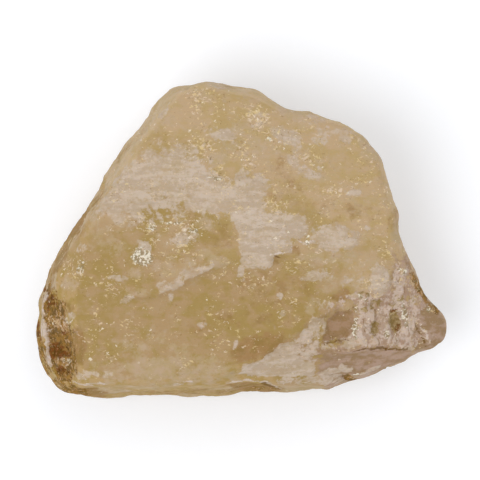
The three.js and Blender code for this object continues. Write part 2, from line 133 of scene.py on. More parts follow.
# The rosy brown of the narrow end.
rosyPatches = [
    (1.0, 0.8, [(11.8, -15.6), (14, -15.6), (17, -15.4), (21, -15.0), (24.8, -15.6), (26.4, -17.6),
                (21, -21.2), (18, -22.6), (15.6, -23.4), (12.6, -22.4), (11.4, -18.9)]),
    (1.0, 0.8, [(25.6, -9.6), (27.4, -7.4), (30.4, -9.6), (31.6, -12), (31.4, -14.2), (30.4, -16.8),
                (27.6, -17.4), (25.0, -16.8), (25.2, -13.0)]),
    (0.8, 0.8, [(6.6, -17.6), (7.6, -14.8), (9.4, -13.4), (11.4, -13.0), (11.6, -16.6), (10.6, -17.8)]),
    (0.7, 1.8, [(14, -7.6), (18, -8.4), (22, -2.6), (24.6, -0.6), (28.6, -8.4), (26.2, -12), (25.2, -16.2),
                (18, -16), (12, -16.4), (12.2, -12), (16, -10)]),
]
# The crumbly corner, where the stone broke into small crystals.
crumblyPatches = [
    (1.0, 0.6, [(16.6, -7.9), (18.2, -7.6), (20.4, -8.4), (23.4, -6.4), (25.6, -8.2), (26.0, -11.8),
                (25.4, -15.4), (21.6, -15.4), (17.6, -15.2), (16.2, -14.4), (16.6, -11.4), (16.2, -9.6)]),
    (0.7, 1.2, [(21.8, -3.2), (24.4, -3.6), (27.0, -7.6), (26.2, -9.8), (23.0, -8.2), (21.6, -6.4)]),
    (0.6, 1.0, [(12.4, -9.2), (16.4, -7.6), (18.0, -8.6), (15.0, -9.8), (12.8, -11.0), (11.6, -13.6),
                (10.9, -12.0)]),
    (0.9, 0.8, [(-28.4, -8.6), (-26.8, -7.9), (-24.9, -11), (-24.0, -13.6), (-23.9, -19.6), (-24.6, -20.5),
                (-26.6, -19.8), (-27.8, -18), (-28.0, -15), (-28.5, -11)]),
]
stainedPatches = [
    (1.0, 0.8, [(-28.8, -8.2), (-26.9, -7.5), (-25.8, -9.4), (-25.2, -11.4), (-24.3, -13.6), (-23.9, -19.4),
                (-24.5, -20.6), (-26.6, -20.4), (-28.0, -18), (-28.3, -15), (-28.8, -11)]),
]
stainedSpots = [
    (-29.6, -14.0, 0.9, 2.3, 5, 0.6), (-29.0, -18.0, 1.1, 3.4, 14, 0.6),
    (-25.2, -21.7, 3.0, 1.1, -22, 0.68), (25.9, -6.6, 0.6, 2.8, 30, 0.7), (-29.1, -16.0, 0.8, 1.6, 5, 0.85),
    (-24.4, -16.4, 0.6, 2.4, 0, 0.6), (2.8, -21.7, 2.4, 0.5, -4, 0.42), (-23.6, -22.3, 1.5, 0.5, 0, 0.95),
    (28.2, -9.8, 1.4, 0.7, -30, 0.85), (16.2, -20.3, 1.7, 0.6, -25, 0.9), (-27.8, -7.4, 0.8, 1.0, 0, 0.5),
]
deepStainSpots = [
    (-28.1, -9.4, 0.35, 0.8, 5, 0.5), (-27.3, -8.7, 0.9, 0.6, 0, 0.85), (-26.5, -16.2, 1.5, 1.15, 0, 1.1),
    (-25.7, -19.0, 1.1, 0.6, 0, 0.9), (-24.6, -15.6, 0.7, 0.4, -30, 0.6), (-25.2, -13.4, 0.7, 0.3, 0, 0.5),
    (-29.4, -13.2, 0.3, 1.5, 0, 0.9), (-28.9, -16.4, 0.35, 0.4, 0, 0.9), (-24.7, -20.2, 0.5, 0.4, 0, 0.9),
    (-28.3, -7.6, 0.35, 0.5, 0, 0.7), (22.2, -10.2, 0.45, 0.5, 0, 0.8), (22.6, -12.6, 0.3, 0.6, 0, 0.7),
    (21.2, -15.8, 0.5, 0.25, 0, 0.9), (16.0, -20.6, 0.8, 0.25, -30, 0.9),
]
glitterSpots = [
    (-9.4, 1.2, 4.2, 1.7, 0, 1.2), (-13.0, 15.0, 3.2, 1.8, 0, 0.9), (-6.2, 13.2, 2.8, 1.5, 0, 1.0),
    (13.4, 7.0, 3.0, 1.0, -5, 1.1), (16.4, 8.6, 2.2, 0.8, -10, 0.8), (0.8, 13.0, 1.2, 2.6, 0, 0.9),
    (3.0, 18.0, 1.8, 1.5, 0, 1.1), (-24.0, -4.2, 1.9, 2.6, 0, 1.3), (-10.0, -1.2, 3.4, 1.6, 0, 0.9),
    (-19.0, -6.6, 3.5, 0.7, 0, 0.8), (10.8, 11.4, 1.6, 1.0, 0, 0.9), (19.6, 9.6, 1.5, 3.0, 0, 0.7),
    (21.6, 6.8, 0.7, 1.8, 20, 0.9), (22.2, -1.2, 1.4, 1.4, 0, 0.7), (19.8, 3.4, 0.8, 0.8, 0, 0.9),
    (9.4, 1.0, 0.8, 2.0, 0, 0.8), (3.0, 2.5, 5.0, 3.0, 0, 0.3), (-16.6, 7.4, 1.6, 0.9, 0, 0.6),
    (-15.0, 3.3, 1.4, 0.8, 0, 0.9), (-25.5, -12.1, 1.8, 1.1, 0, 1.9), (-26.0, -17.6, 1.2, 0.6, 0, 1.4),
    (24.0, -6.0, 2.2, 2.4, 0, 1.0), (22.5, -10.5, 3.5, 2.2, 0, 0.8), (-3.4, 10.0, 1.2, 1.2, 0, 0.9),
    (-18.0, -12.5, 4.5, 1.2, 0, 0.5), (-1.6, -5.4, 3.0, 1.0, 0, 0.7), (-5.0, 19.0, 3.0, 2.6, 0, 0.4),
    (-14.2, -2.2, 1.1, 1.2, 20, 2.6), (-26.8, -6.4, 1.6, 0.8, 0, 1.3), (-22.0, -19.9, 1.6, 0.5, 0, 0.9),
    (16.6, -19.8, 0.5, 0.3, 0, 2.4), (23.4, -4.3, 0.5, 0.3, -30, 2.2), (-16.8, 14.2, 1.0, 1.6, 0, 0.8),
    (6.5, 14.6, 2.4, 2.0, 0, 0.8), (27.6, -10.2, 1.0, 0.6, -30, 0.9), (8.0, -4.0, 2.0, 0.8, 0, 0.5),
]
# Sugary crusts of bright and dark grains.
sugarySpots = [
    (-14.2, -2.2, 1.3, 1.4, 20, 1.0), (-6.9, 1.35, 0.9, 0.28, -22, 0.9), (16.7, -19.7, 0.6, 0.3, 0, 0.9),
    (23.4, -4.3, 0.5, 0.35, -30, 0.9), (-23.0, -3.8, 0.5, 1.3, 5, 0.48), (16.5, -12.6, 0.35, 1.5, 8, 0.8),
    (17.4, -8.4, 1.0, 0.4, -15, 0.6), (-24.9, -11.6, 0.9, 0.4, -15, 0.6), (-25.2, -17.6, 0.7, 0.5, 0, 0.5),
    (23.9, -11.0, 0.5, 1.8, 10, 0.6), (9.6, 0.2, 0.4, 1.2, 10, 0.55), (-12.6, 1.9, 0.9, 0.4, 0, 0.6),
    (-16.4, 17.0, 0.4, 0.4, 0, 0.8), (4.2, 14.6, 0.7, 0.4, 0, 0.5), (-3.9, 8.9, 0.9, 0.3, -20, 0.45),
    (21.2, -13.7, 0.4, 0.8, 0, 0.6), (27.3, -10.2, 0.7, 0.35, -30, 0.55), (-9.9, 2.4, 1.4, 0.3, -5, 0.55),
]
# Lines are a half width, a strength and points.
pocketVein = [
    (0.3, 1.0, [(-28.4, -8.2), (-28.9, -9.2), (-28.9, -11.0), (-28.7, -12.6), (-28.3, -14.2)]),
    (0.15, 0.9, [(-28.3, -14.2), (-28.0, -15.6), (-27.7, -17.0), (-27.5, -18.4)]),
]
# Pale lines: real pale veins and slivers, and painted highlights along the bright edges of chips and flakes.
paleLines = [
    (0.3, 0.55, [(-28.4, -12.8), (-27.6, -13.1)]),
    (0.12, 0.9, [(-24.4, -20.6), (-22.0, -20.9), (-20.0, -20.7)]),
    (0.10, 0.8, [(-9.6, -21.0), (-8.2, -20.7), (-6.8, -20.5)]),
    (0.11, 0.9, [(-1.8, -20.8), (0.4, -20.3), (2.8, -20.3), (4.4, -20.9), (5.8, -21.7)]),
    (0.12, 1.0, [(7.3, -0.9), (7.1, -1.7), (5.4, -1.8), (4.2, -2.0)]),
    (0.11, 0.75, [(16.7, -10.4), (16.3, -11.2), (16.4, -12.3), (15.8, -14.2)]),
    (0.16, 0.6, [(12.2, -14.9), (14.0, -14.6), (15.8, -14.3)]),
    (0.18, 0.75, [(26.5, -12.9), (26.9, -13.6), (27.4, -14.9)]),
    (0.09, 0.7, [(14.4, -19.6), (15.0, -20.4), (15.8, -21.0)]),
    (0.14, 0.9, [(8.4, 0.1), (9.6, -0.4), (10.8, -0.7)]),
]
# Dark lines: real cracks, and painted shadow beside chips and flakes.
darkLines = [
    (0.16, 0.9, [(25.4, -12.2), (26.1, -13.6), (26.9, -15.4)]),
    (0.10, 0.9, [(4.9, -2.15), (5.9, -2.3)]),
    (0.14, 1.0, [(3.2, -20.7), (4.6, -21.3), (5.9, -21.9)]),
    (0.12, 0.8, [(12.0, -21.8), (13.2, -21.95)]),
    (0.13, 0.9, [(16.2, -16.2), (18.6, -15.7), (20.6, -15.6), (21.4, -15.9), (24.2, -15.9)]),
    (0.16, 1.0, [(14.7, -19.8), (15.3, -20.3), (15.9, -20.9)]),
    (0.12, 0.8, [(12.2, -15.2), (13.6, -14.8), (15.6, -14.5)]),
    (0.12, 0.7, [(-4.6, 12.0), (-3.8, 11.6)]),
    (0.10, 0.7, [(-2.0, 4.0), (-1.6, 3.6)]),
    (0.30, 0.5, [(-29.7, -11.6), (-29.6, -13.6), (-29.0, -17.4), (-27.8, -20.4), (-25.4, -22.3)]),
]
# Steps in the face, the recess beside the crumbly corner, and the pits.
ledgeLine = [(-13.5, -8.3), (-11.2, -8.0), (-8.4, -6.9), (-7.6, -5.7), (-5.0, -4.7), (-2.6, -3.7)]
wedgeLine = [(-1.0, -19.0), (0.3, -18.4), (3.2, -16.8), (6.2, -14.9), (8.0, -14.0), (9.6, -12.2),
             (11.9, -11.0)]
recessBorder = [(12.7, -11.5), (14.1, -10.0), (15.2, -10.3), (16.5, -9.8), (16.1, -11.2), (16.2, -12.3),
                (15.6, -14.2), (14.1, -14.4), (11.5, -15.4), (12.4, -13.0)]
pitSpots = [
    (19.3, -12.8, 0.7, 1.1, 0, 1.0), (22.2, -11.6, 0.75, 1.6, 5, 1.2), (19.4, -9.2, 0.9, 0.7, 0, 0.8),
    (15.3, -20.3, 0.8, 0.4, -40, 0.6), (16.6, -20.3, 1.0, 0.4, -20, 0.8), (-27.2, -9.4, 1.0, 1.0, 0, 0.7),
    (-26.5, -16.2, 1.4, 1.0, 0, 0.9), (-25.7, -19.0, 1.0, 0.6, 0, 0.8), (22.8, -8.5, 1.0, 0.6, 0, 0.65),
    (17.2, -10.1, 1.4, 1.0, 0, 0.68), (24.9, -8.9, 1.1, 0.9, 0, 0.6), (22.4, -9.4, 0.9, 0.4, 0, 0.6),
    (17.9, -8.0, 1.2, 0.6, 0, 0.52),
]

# The stone's mesh. Sizes, heights and depths are in millimetres.
stoneShape = {
    "smoothing": 2,  # Catmull-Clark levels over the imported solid
    "weldDistance": 1e-6,  # metres
    "wander": [(2.4, 0.35), (0.9, 0.2)],  # size and reach of the raggedness of all borders
    "facesUp": (0.15, 0.5),  # how far up a surface looks where the walls end and the tops begin
    "broadFace": (0.6, 0.85),
    "onTopFrom": 6,  # below this height nothing that is drawn on the broad face shows
    "nearTop": (12, 14),  # the veins and cracks end between these heights, a little way down the walls
    "ledge": (0.1, 0.25, 3.0),  # height, width of the step and reach to both sides
    "wedge": (0.14, 0.25, 2.5),
    "frostAboveLedge": (0.8, 0.3, 1.9),  # strength, width and reach
    "ledgeEnds": ((-13.6, -11.0), (-4.4, -2.4)),  # that frost starts and ends between these x
    "frostStep": 0.1,  # how far the frosted layers stand up
    "frostEdge": (0.42, 0.58),
    "recessDepth": 0.3,
    "recessWall": (-0.3, 0.5),
    "recessSoftness": 0.35,
    "pitDepth": 0.2,
    "pocketDepth": 0.25,
    "pocketWall": (0.3, 0.8),
    "veinHeight": 0.25,
    "crystals": [(2.0, 0.28), (1.0, 0.2)],  # size and height of the crumbly corner's crystals
    "crystalStretch": (1, 0.5, 1),
    "crystalSlant": 1.1,
    "crumbEdge": (0.3, 0.7),
    "waxyGrain": [(1.7, 0.05), (0.75, 0.028)],  # size and height of the broad face's fine relief
    "ripple": (0.7, 5.0, 0.03),  # size across, size along and height of its faint ripples
    "chips": [(6.5, 0.55), (2.9, 0.26), (1.3, 0.1)],  # size and depth of the walls' shell-shaped chips
    "chipSlant": 0.7,
    "chipsOnTop": 0.1,  # share of them on the broad face
    "brokenGrain": (1.0, 0.07),
    "flatSpot": (0.15, 1.2),  # between these heights above the floor the relief fades in
    "surroundings": (10, 0.3),  # a ridge stands out of these rounds of smoothing, each keeping this share
    "ridgeHeight": 0.2,
    "farRimFaces": (0.15, 0.85, 0),
    "nearRimFaces": (-0.5, -0.75, 0),
    "nearBevel": ((0.0, 0.45), (0.7, 0.95)),  # how far up it looks where it starts and ends
    "nearRimEnd": (2.0, 7.0),  # it ends between these x
    "seeds": {"wander": (1.7, 9.2), "crystals": 2, "waxyGrain": 4, "ripple": 5.5, "brokenGrain": 6,
              "chips": 8},
}
seeds = stoneShape["seeds"]
spotFade = (0.55, 1.45)  # a spot fades out between these shares of its half sizes
lineFade = (0.5, 2.2)  # and a line between these shares of its half width
noiseFade, noiseStep = 0.9, 2.1  # how much weaker and how much finer each octave is
chipBend, chipBendSize, chipScatter = 0.3, 0.8, 9.7


def lineDistance(places, points, closed=False):
    # distance of every place to a line, and 1 where the place is left of it
    best = np.full(len(places), np.inf)
    left = np.zeros(len(places))
    ends = list(points[1:]) + ([points[0]] if closed else [])
    for start, end in zip(points, ends):
        start, along = np.array(start), np.array(end) - np.array(start)
        away = places - start
        share = np.clip(away @ along / (along @ along), 0, 1)
        distance = np.linalg.norm(away - share[:, None] * along, axis=1)
        nearer = distance < best
        best[nearer] = distance[nearer]
        left[nearer] = (along[0] * away[:, 1] - along[1] * away[:, 0] > 0)[nearer]
    return best, left


def borderDistance(places, border):
    # distance to a closed border, positive inside it
    inside = np.zeros(len(places), bool)
    x, y = places[:, 0], places[:, 1]
    for (ax, ay), (bx, by) in zip(border, border[1:] + border[:1]):
        crosses = (ay > y) != (by > y)
        rise = by - ay if by != ay else 1
        inside ^= crosses & (x < (bx - ax) * (y - ay) / rise + ax)
    distance, _ = lineDistance(places, border, closed=True)
    return np.where(inside, distance, -distance)


def smoothstep(value, low, high):
    t = np.clip((value - low) / (high - low), 0, 1)
    return t * t * (3 - 2 * t)


def patches(places, shapes):
    # half the strength on each border, rising inwards to all of it
    total = np.zeros(len(places))
    for strength, softness, border in shapes:
        share = np.clip(0.5 + borderDistance(places, border) / (2 * softness), 0, 1)
        total = np.maximum(total, strength * share)
    return total


def spots(places, shapes):
    total = np.zeros(len(places))
    for x, y, halfLong, halfWide, turn, strength in shapes:
        c, s = math.cos(math.radians(turn)), math.sin(math.radians(turn))
        dx, dy = places[:, 0] - x, places[:, 1] - y
        u, v = (dx * c + dy * s) / halfLong, (dy * c - dx * s) / halfWide
        total = np.maximum(total, strength * (1 - smoothstep(np.hypot(u, v), *spotFade)))
    return total


def lines(places, shapes):
    total = np.zeros(len(places))
    for halfWidth, strength, points in shapes:
        distance, _ = lineDistance(places, points)
        total = np.maximum(total, strength * (1 - smoothstep(distance / halfWidth, *lineFade)))
    return total


def beside(places, line, height, width, reach):
    # the height beside a line, positive on its left, rising over the width and fading over the reach
    away, left = lineDistance(places, line)
    side = np.where(left > 0, 1, -1)
    return side * height * smoothstep(away, 0, width) * np.exp(-((away / reach) ** 2))


def seedShift(seed):
    return Vector((seed * 3.1, seed * 5.7, seed * 7.3))


def noiseAt(points, size, octaves, seed):
    # repeatable noise around 0 at every point
    shift = seedShift(seed)
    return np.array([noise.fractal(Vector(p) / size + shift, noiseFade, noiseStep, octaves) for p in points])


def chipsAt(points, size, slant, seed):
    # Every cell is scooped out and slants its own way, and neighbours meet in ridges.
    shift = seedShift(seed)
    heights = np.empty(len(points))
    for i, p in enumerate(points):
        place = Vector(p) / size + shift
        place += chipBend * noise.noise_vector(place * chipBendSize)
        distances, middles = noise.voronoi(place)
        heights[i] = max(
            slant * (noise.cell_vector(middle * chipScatter) * 2 - Vector((1, 1, 1))).dot(place - middle)
            - distance ** 2
            for distance, middle in zip(distances, middles)
        )
    return heights - heights.mean()


def fineStone(node):
    work = bmesh.new()
    work.from_mesh(node.data)
    bmesh.ops.remove_doubles(work, verts=work.verts, dist=stoneShape["weldDistance"])
    coarse = bpy.data.meshes.new("coarseStone")
    work.to_mesh(coarse)
    work.free()
    stone = bpy.data.objects.new("rough_witherite", coarse)
    scene.collection.objects.link(stone)
    rounding = stone.modifiers.new("rounding", "SUBSURF")
    rounding.levels = rounding.render_levels = stoneShape["smoothing"]
    finished = stone.evaluated_get(bpy.context.evaluated_depsgraph_get())
    stone.data = bpy.data.meshes.new_from_object(finished)
    stone.modifiers.clear()
    return stone


def readVectors(source, count, name):
    values = np.empty(count * 3)
    source.foreach_get(name, values)
    return values.reshape(-1, 3)


stone = fineStone(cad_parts["witherite_stone"])
mesh = stone.data
count = len(mesh.vertices)
points = readVectors(mesh.vertices, count, "co") / mm
normals = readVectors(mesh.vertex_normals, count, "vector")
print("fine mesh:", count, "points,", len(mesh.polygons), "faces")

# All borders wander a little, so nothing drawn above keeps its straight sides.
wandered = points[:, :2] - np.array(middleShift)
for index, (size, reach) in enumerate(stoneShape["wander"]):
    steps = [noiseAt(points, size, 2, seed + index) for seed in seeds["wander"]]
    wandered = wandered + reach * np.stack(steps, 1)
facesUp = smoothstep(normals[:, 2], *stoneShape["facesUp"])
broadFace = smoothstep(normals[:, 2], *stoneShape["broadFace"])
onTop = points[:, 2] > stoneShape["onTopFrom"]
nearTop = smoothstep(points[:, 2], *stoneShape["nearTop"])

ledgeStart, ledgeEnd = stoneShape["ledgeEnds"]
alongLedge = smoothstep(wandered[:, 0], *ledgeStart) * (1 - smoothstep(wandered[:, 0], *ledgeEnd))
aboveLedge = alongLedge * beside(wandered, ledgeLine, *stoneShape["frostAboveLedge"]).clip(0)
frosted = np.maximum(patches(wandered, frostedPatches), spots(wandered, frostedSpots))
frosted = np.maximum(frosted, aboveLedge) * facesUp
crumbly = patches(wandered, crumblyPatches) * facesUp
pocket = patches(wandered, stainedPatches)
stained = np.maximum(pocket, spots(wandered, stainedSpots))
pits = spots(wandered, pitSpots)

upward = stoneShape["frostStep"] * smoothstep(frosted, *stoneShape["frostEdge"])
upward += beside(wandered, ledgeLine, *stoneShape["ledge"])
upward += beside(wandered, wedgeLine, *stoneShape["wedge"])
recess = smoothstep(borderDistance(wandered, recessBorder), *stoneShape["recessWall"])
upward -= stoneShape["recessDepth"] * recess + stoneShape["pitDepth"] * pits
upward -= stoneShape["pocketDepth"] * smoothstep(pocket, *stoneShape["pocketWall"])
upward += stoneShape["veinHeight"] * lines(wandered, pocketVein)
upward *= facesUp * onTop

rough = np.zeros(count)
crumbShare = smoothstep(crumbly, *stoneShape["crumbEdge"])
stretched = points * stoneShape["crystalStretch"]
for seed, (size, height) in enumerate(stoneShape["crystals"], seeds["crystals"]):
    rough += crumbShare * height * chipsAt(stretched, size, stoneShape["crystalSlant"], seed)
for seed, (size, height) in enumerate(stoneShape["waxyGrain"], seeds["waxyGrain"]):
    rough += broadFace * height * noiseAt(points, size, 3, seed)
across, along, height = stoneShape["ripple"]
stretched = points * (across / along, 1, across / along)
rough += broadFace * height * noiseAt(stretched, across, 2, seeds["ripple"])
chipShare = 1 - (1 - stoneShape["chipsOnTop"]) * facesUp
for seed, (size, depth) in enumerate(stoneShape["chips"], seeds["chips"]):
    rough += chipShare * depth * chipsAt(points, size, stoneShape["chipSlant"], seed)
size, height = stoneShape["brokenGrain"]
rough += (1 - broadFace) * height * noiseAt(points, size, 4, seeds["brokenGrain"])
lift = smoothstep(points[:, 2], *stoneShape["flatSpot"])
moved = points + normals * (rough * lift)[:, None]
moved[:, 2] += upward
print("relief added")

mesh.vertices.foreach_set("co", (moved * mm).ravel())
mesh.polygons.foreach_set("use_smooth", np.ones(len(mesh.polygons), bool))
mesh.update()

# Ridges and hollows: how far a point stands out of its surroundings.
edges = np.empty(len(mesh.edges) * 2, int)
mesh.edges.foreach_get("vertices", edges)
edges = edges.reshape(-1, 2)
degree = np.bincount(edges.ravel(), minlength=count)[:, None]
smooth = moved.copy()
rounds, kept = stoneShape["surroundings"]
for _ in range(rounds):
    around = np.zeros_like(smooth)
    np.add.at(around, edges[:, 0], smooth[edges[:, 1]])
    np.add.at(around, edges[:, 1], smooth[edges[:, 0]])
    smooth = kept * smooth + (1 - kept) * around / degree
standsOut = np.einsum("ij,ij->i", moved - smooth, readVectors(mesh.vertex_normals, count, "vector"))

# The gold rim on the near side: partly the stone's own gold colour, partly painted shade on the slopes that
# face the near side.
bevelStart, bevelEnd = stoneShape["nearBevel"]
bevelled = smoothstep(normals[:, 2], *bevelStart) * (1 - smoothstep(normals[:, 2], *bevelEnd))
beforeTip = 1 - smoothstep(points[:, 0], *stoneShape["nearRimEnd"])
nearSlopeGoldAndShade = bevelled * (normals @ stoneShape["nearRimFaces"]) * beforeTip


def keepMarks(name, values):
    marks = mesh.attributes.new(name, "FLOAT", "POINT")
    marks.data.foreach_set("value", values.astype(np.float32))


keepMarks("frosted", frosted)
keepMarks("amber", spots(wandered, amberSpots) * onTop - spots(wandered, paleSpots) * onTop)
keepMarks("rosy", patches(wandered, rosyPatches) * onTop)
keepMarks("crumbly", crumbly)
keepMarks("stained", stained * onTop)
keepMarks("deepStain", spots(wandered, deepStainSpots) * onTop)
keepMarks("glitter", spots(wandered, glitterSpots) * facesUp)
keepMarks("sugary", spots(wandered, sugarySpots) * facesUp)
keepMarks("paleLine", lines(wandered, pocketVein + paleLines) * nearTop)
keepMarks("darkLine", lines(wandered, darkLines) * nearTop)
keepMarks("standsOut", np.clip(standsOut / stoneShape["ridgeHeight"], -1, 1))
keepMarks("broadFace", broadFace)
keepMarks("facesUp", facesUp)
keepMarks("pits", pits * facesUp)
# Walls that face the far side are marked for painted light.
keepMarks("farRimPaintedLight", (1 - broadFace) * (normals @ stoneShape["farRimFaces"]))
keepMarks("nearRimGoldAndShade", np.maximum(nearSlopeGoldAndShade, spots(wandered, goldAndShadeSpots) * onTop))
keepMarks("recess", patches(wandered, [(1.0, stoneShape["recessSoftness"], recessBorder)]) * facesUp)
print("marks kept on the mesh")


# Shader sums. The Mix node's sockets for its factor, two colours and result go by number.
mixFactor, mixFirst, mixSecond, mixResult = 0, 6, 7, 2


class Flow:  # an output socket that can be used in sums
    def __init__(self, tree, socket):
        self.tree, self.socket = tree, socket

    def make(self, kind, settings=(), inputs=(), output=0):
        node = self.tree.nodes.new(kind)
        for name, value in dict(settings).items():
            setattr(node, name, value)
        for name, value in dict(inputs).items():
            if isinstance(value, Flow):
                self.tree.links.new(value.socket, node.inputs[name])
            else:
                node.inputs[name].default_value = value
        return Flow(self.tree, node.outputs[output])

    def maths(self, operation, *others, clamp=False):
        inputs = dict(enumerate((self,) + others))
        return self.make("ShaderNodeMath", {"operation": operation, "use_clamp": clamp}, inputs)

    def __add__(self, other): return self.maths("ADD", other)
    def __radd__(self, other): return self.maths("ADD", other)
    def __sub__(self, other): return self.maths("SUBTRACT", other)
    def __rsub__(self, other): return (self * -1).maths("ADD", other)
    def __mul__(self, other): return self.maths("MULTIPLY", other)
    def __rmul__(self, other): return self.maths("MULTIPLY", other)
    def clamped(self): return self.maths("ADD", 0.0, clamp=True)
    def highest(self, other): return self.maths("MAXIMUM", other)

    def between(self, low, high):  # 0 below low, 1 above high, smooth in between
        return self.make("ShaderNodeMapRange", {"interpolation_type": "SMOOTHSTEP"},
                         {"Value": self, "From Min": low, "From Max": high})

    def mixed(self, first, second):  # colours, self being the factor
        inputs = {mixFactor: self, mixFirst: first, mixSecond: second}
        return self.make("ShaderNodeMix", {"data_type": "RGBA"}, inputs, mixResult)


# How much brighter the studio's light makes a surface, and what its gloss adds to it.
lightGain, glossShare = 1.12, 0.005
darkest = 0.004


def colour(red, green, blue):
    # the surface colour that looks like these 0 to 255 values in the studio's light
    shown = [((c / 255 + 0.055) / 1.055) ** 2.4 for c in (red, green, blue)]
    return tuple(max(darkest, (value - glossShare) / lightGain) for value in shown) + (1.0,)


def newMaterial(name):
    material = bpy.data.materials.new(name)
    material.use_nodes = True
    tree = material.node_tree
    return material, tree, tree.nodes["Principled BSDF"]


# The stone's finish. Colours are as they look from above.
even = (1, 1, 1)
witheriteFinish = {
    "tones": {  # two colours that a noise blends
        "lowerHoney": (colour(168, 142, 87), colour(178, 149, 109)),
        "upperHoney": (colour(188, 162, 115), colour(194, 167, 132)),
        "wallHoneyWithPaintedLight": (colour(181, 158, 120), colour(198, 175, 146)),
        "frost": (colour(192, 172, 150), colour(208, 190, 172)),
        "rosy": (colour(156, 128, 100), colour(180, 153, 137)),
        "crystals": (colour(174, 146, 125), colour(212, 192, 178)),
        "sugar": (colour(150, 132, 96), colour(246, 238, 220)),
    },
    "coats": {  # strength and colour, or two colours, their mottling's size in mm and its own noise
        "nearRimGoldAndShade": (0.85, colour(176, 149, 90), colour(190, 160, 114), 1.8, 7.0),
        "farRimPaintedLight": (0.45, colour(208, 184, 144), colour(214, 191, 160), 1.8, 8.0),
        "amber": (0.85, colour(150, 120, 70), colour(164, 129, 86), 1.6, 0.0),
        "cloudy": (0.7, colour(188, 166, 130), colour(194, 171, 146), 1.3, 0.0),
        "veil": (1.0, colour(188, 166, 130), colour(194, 171, 146), 0.9, 5.0),
        "crystalGap": (0.65, colour(128, 100, 58)),
        "pit": (0.8, colour(142, 118, 58), colour(178, 152, 102), 0.7, 6.0),
        "recess": (0.85, colour(154, 124, 86), colour(170, 139, 112), 1.2, 9.0),
        "stain": (0.88, colour(104, 77, 18), colour(153, 113, 48), 0.9, 2.0),
        "stainedCrystal": (0.75, colour(200, 166, 130)),
        "deepStain": (0.85, colour(92, 60, 12), colour(125, 73, 37), 0.7, 4.0),
        "hollowShade": (0.3, colour(116, 86, 42)),
        "ridgePaling": (1.0, colour(200, 174, 140)),
        "veinAndEdgeHighlight": (0.88, colour(192, 171, 148), colour(216, 200, 188), 0.7, 12.0),
        "crackAndShadowLine": (0.8, colour(116, 86, 42)),
        "fleck": (0.68, colour(230, 206, 156), colour(228, 206, 182), 1.0, 11.0),
        "darkFleck": (0.45, colour(134, 106, 58)),
        "glint": (0.85, colour(246, 234, 214)),
    },
    "borders": {  # how ragged a mark's border is, coarse and fine, and the two values it fades between
        "rosy": (0.12, 0.06, 0.35, 0.7),
        "frosted": (0.11, 0.05, 0.36, 0.6),
        "crumbly": (0.1, 0.12, 0.38, 0.62),
        "pits": (0.12, 0.18, 0.35, 0.8),
        "recess": (0.05, 0.08, 0.35, 0.65),
        "stained": (0.12, 0.12, 0.3, 0.6),
        "deepStain": (0.12, 0.26, 0.35, 0.9),
        "paleLine": (0.05, 0.14, 0.3, 0.75),
        "darkLine": (0.0, 0.14, 0.35, 0.8),
        "sugary": (0.1, 0.2, 0.3, 0.7),
    },
    "grains": {  # size in mm, detail, roughness, how much finer along X, Y and Z, distortion
        "clouds": (6.5, 3.0, 0.5, even, 0.0),
        "blotches": (2.0, 2.5, 0.5, even, 0.5),
        "streaks": (1.2, 4.0, 0.6, (0.28, 1.5, 1.0), 0.0),
        "fineStreaks": (0.5, 3.0, 0.6, (0.2, 1.4, 1.0), 0.0),
        "ragged": (1.7, 4.0, 0.62, even, 0.0),
        "raggedFine": (0.6, 4.0, 0.68, even, 0.0),
        "veil": (3.2, 6.0, 0.72, (0.7, 1.1, 1.0), 0.8),
        "thinFrost": (1.6, 5.0, 0.66, (0.6, 1.2, 1.0), 0.4),
        "frostStrokes": (1.3, 4.0, 0.62, (0.4, 1.3, 1.0), 0.3),
        "frostGrain": (0.6, 3.0, 0.6, even, 0.0),
        "crystals": (1.5, 4.0, 0.6, (1.3, 0.55, 1.0), 0.6),
        "crystalGrain": (0.5, 3.0, 0.6, even, 0.0),
        "crystalGaps": (0.8, 4.0, 0.7, (1.3, 0.55, 1.0), 0.8),
        "crystalsInStain": (0.6, 3.0, 0.65, even, 0.5),
        "gathering": (3.6, 4.0, 0.6, even, 0.0),
        "flecks": (0.5, 3.0, 0.62, (0.85, 1.2, 1.0), 0.8),
        "darkFlecks": (0.42, 3.0, 0.65, (1.0, 1.25, 1.0), 0.5),
        "sugar": (0.5, 2.0, 0.6, even, 0.6),
        "fineSugar": (0.3, 2.0, 0.5, even, 0.0),
        "relief": (0.6, 5.0, 0.6, even, 0.0),
        "frostRelief": (0.25, 3.0, 0.6, even, 0.0),
    },
    "grainGain": 15.0,  # brings two thirds of every noise between -1 and 1
    "blend": (-1.2, 1.2),  # a pair of colours blends between these
    "mottling": (4.0, 0.65, 3.0),  # detail, roughness and height in the noise
    "wayToFarEdge": (0.45, 1, 0),
    "farEdge": (-9.0, 14.0),  # the honey turns paler between these
    "glintSize": 0.62,  # mm
    "glintBend": (3.5, 2.0),  # how finely and with what detail the glints' outlines bend
    "bump": (0.5, 0.05 * mm),
    "refraction": 1.53,
    "gloss": 0.06,
    "glow": 0.15,  # share of light that enters the stone
    "glowReach": (1.0, 0.62, 0.3),
    "glowDepth": 2.0 * mm,
}


